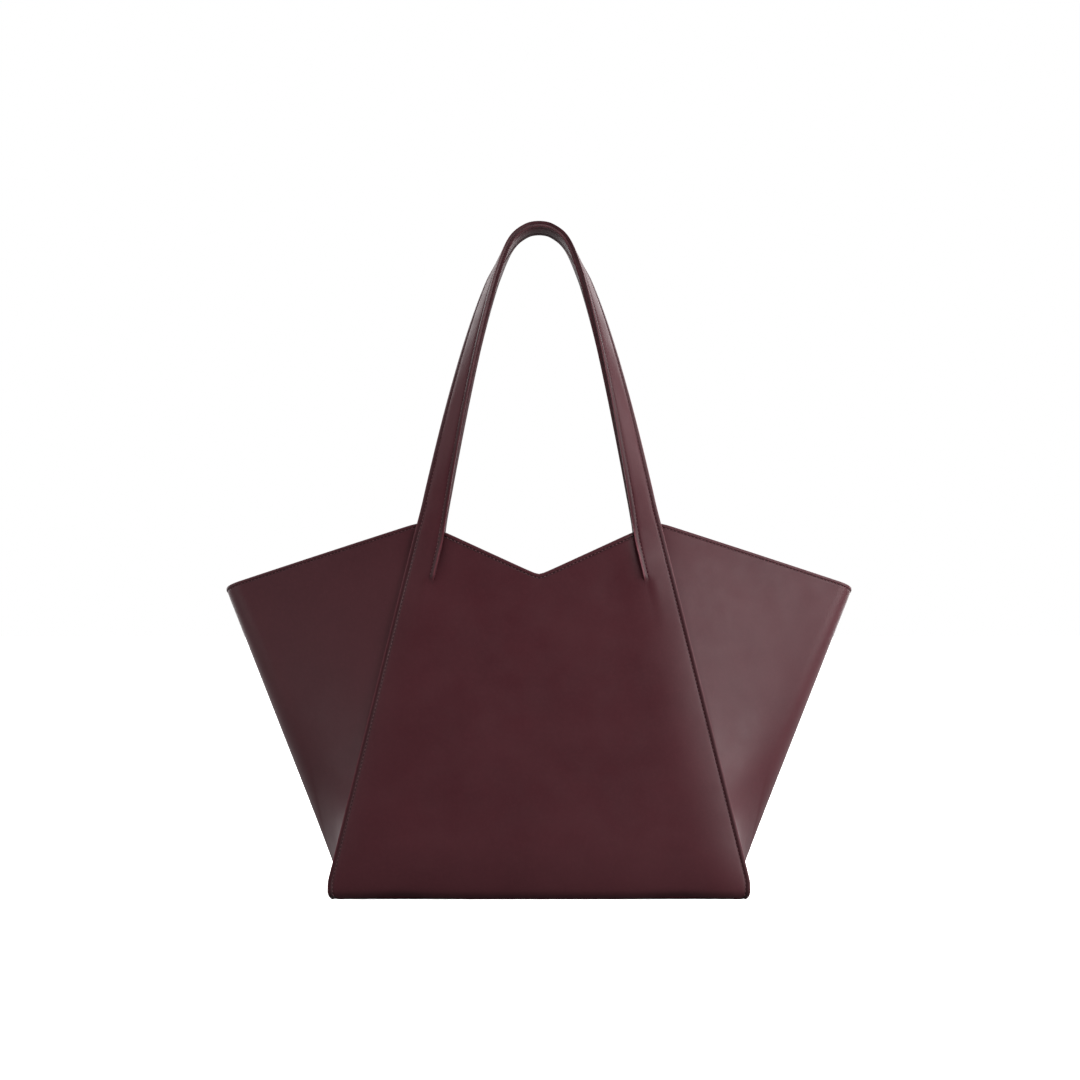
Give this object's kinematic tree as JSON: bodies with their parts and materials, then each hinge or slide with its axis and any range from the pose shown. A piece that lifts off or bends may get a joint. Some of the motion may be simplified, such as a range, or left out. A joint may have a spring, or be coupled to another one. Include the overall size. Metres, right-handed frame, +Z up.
{
  "type": "tote bag",
  "caption": "Winged leather tote bag with a V-shaped mouth, folded side gussets, flopping shoulder straps that grow out of its panels, a magnetic snap and a zipped inner pocket.",
  "frame": {"origin": "on the floor, under the middle of the base", "axes": "+Z up, -Y towards the front panel, +X to the right as seen from the front"},
  "size_m": [0.498, 0.14, 0.53],
  "materials": {
    "leather": "smooth semi-gloss oxblood leather with a fine grain",
    "facing": "matt oxblood leather facing",
    "lining": "woven twill lining",
    "board": "pressed fibre board",
    "tape": "woven zip tape",
    "metal": "polished pale gold plating"
  },
  "bodies": {
    "shell": {"front_panel": "leather", "back_panel": "leather", "left_gusset": "leather", "right_gusset": "leather", "base_panel": "leather", "base_board": "board", "base_lining": "lining", "front_stiffener": "board", "back_stiffener": "board", "front_facing": "facing", "back_facing": "facing", "front_lining": "lining", "back_lining": "lining", "left_gusset_facing": "facing", "right_gusset_facing": "facing", "left_gusset_lining": "lining", "right_gusset_lining": "lining", "snap_stud": "metal", "snap_stud_washer": "metal", "snap_socket": "metal", "snap_socket_washer": "metal", "pocket_patch": "lining", "zip_tape_lower": "tape", "zip_tape_upper": "tape", "zip_teeth_lower": "metal", "zip_teeth_upper": "metal", "zip_stop_closed": "metal", "zip_stop_open": "metal"},
    "front_strap": {"front_strap_face": "leather", "front_strap_core": "board", "front_strap_backing": "leather"},
    "back_strap": {"back_strap_face": "leather", "back_strap_core": "board", "back_strap_backing": "leather"},
    "slider": {"zip_slider": "metal"},
    "pull": {"zip_pull": "metal"}
  },
  "joints": [
    {"name": "front_strap_flop", "type": "hinge", "parent": "shell", "child": "front_strap", "pos_m": [0, -0.055, 0.2838], "axis": [1, 0, 0], "range_deg": [0, 160]},
    {"name": "back_strap_flop", "type": "hinge", "parent": "shell", "child": "back_strap", "pos_m": [0, 0.055, 0.2838], "axis": [-1, 0, 0], "range_deg": [0, 160]},
    {"name": "zip_travel", "type": "slide", "parent": "shell", "child": "slider", "axis": [-1, 0, 0], "range_m": [0, 0.136]},
    {"name": "pull_swing", "type": "hinge", "parent": "slider", "child": "pull", "pos_m": [0.068, 0.04995, 0.18621], "axis": [-1, 0, 0], "range_deg": [0, 170]}
  ]
}
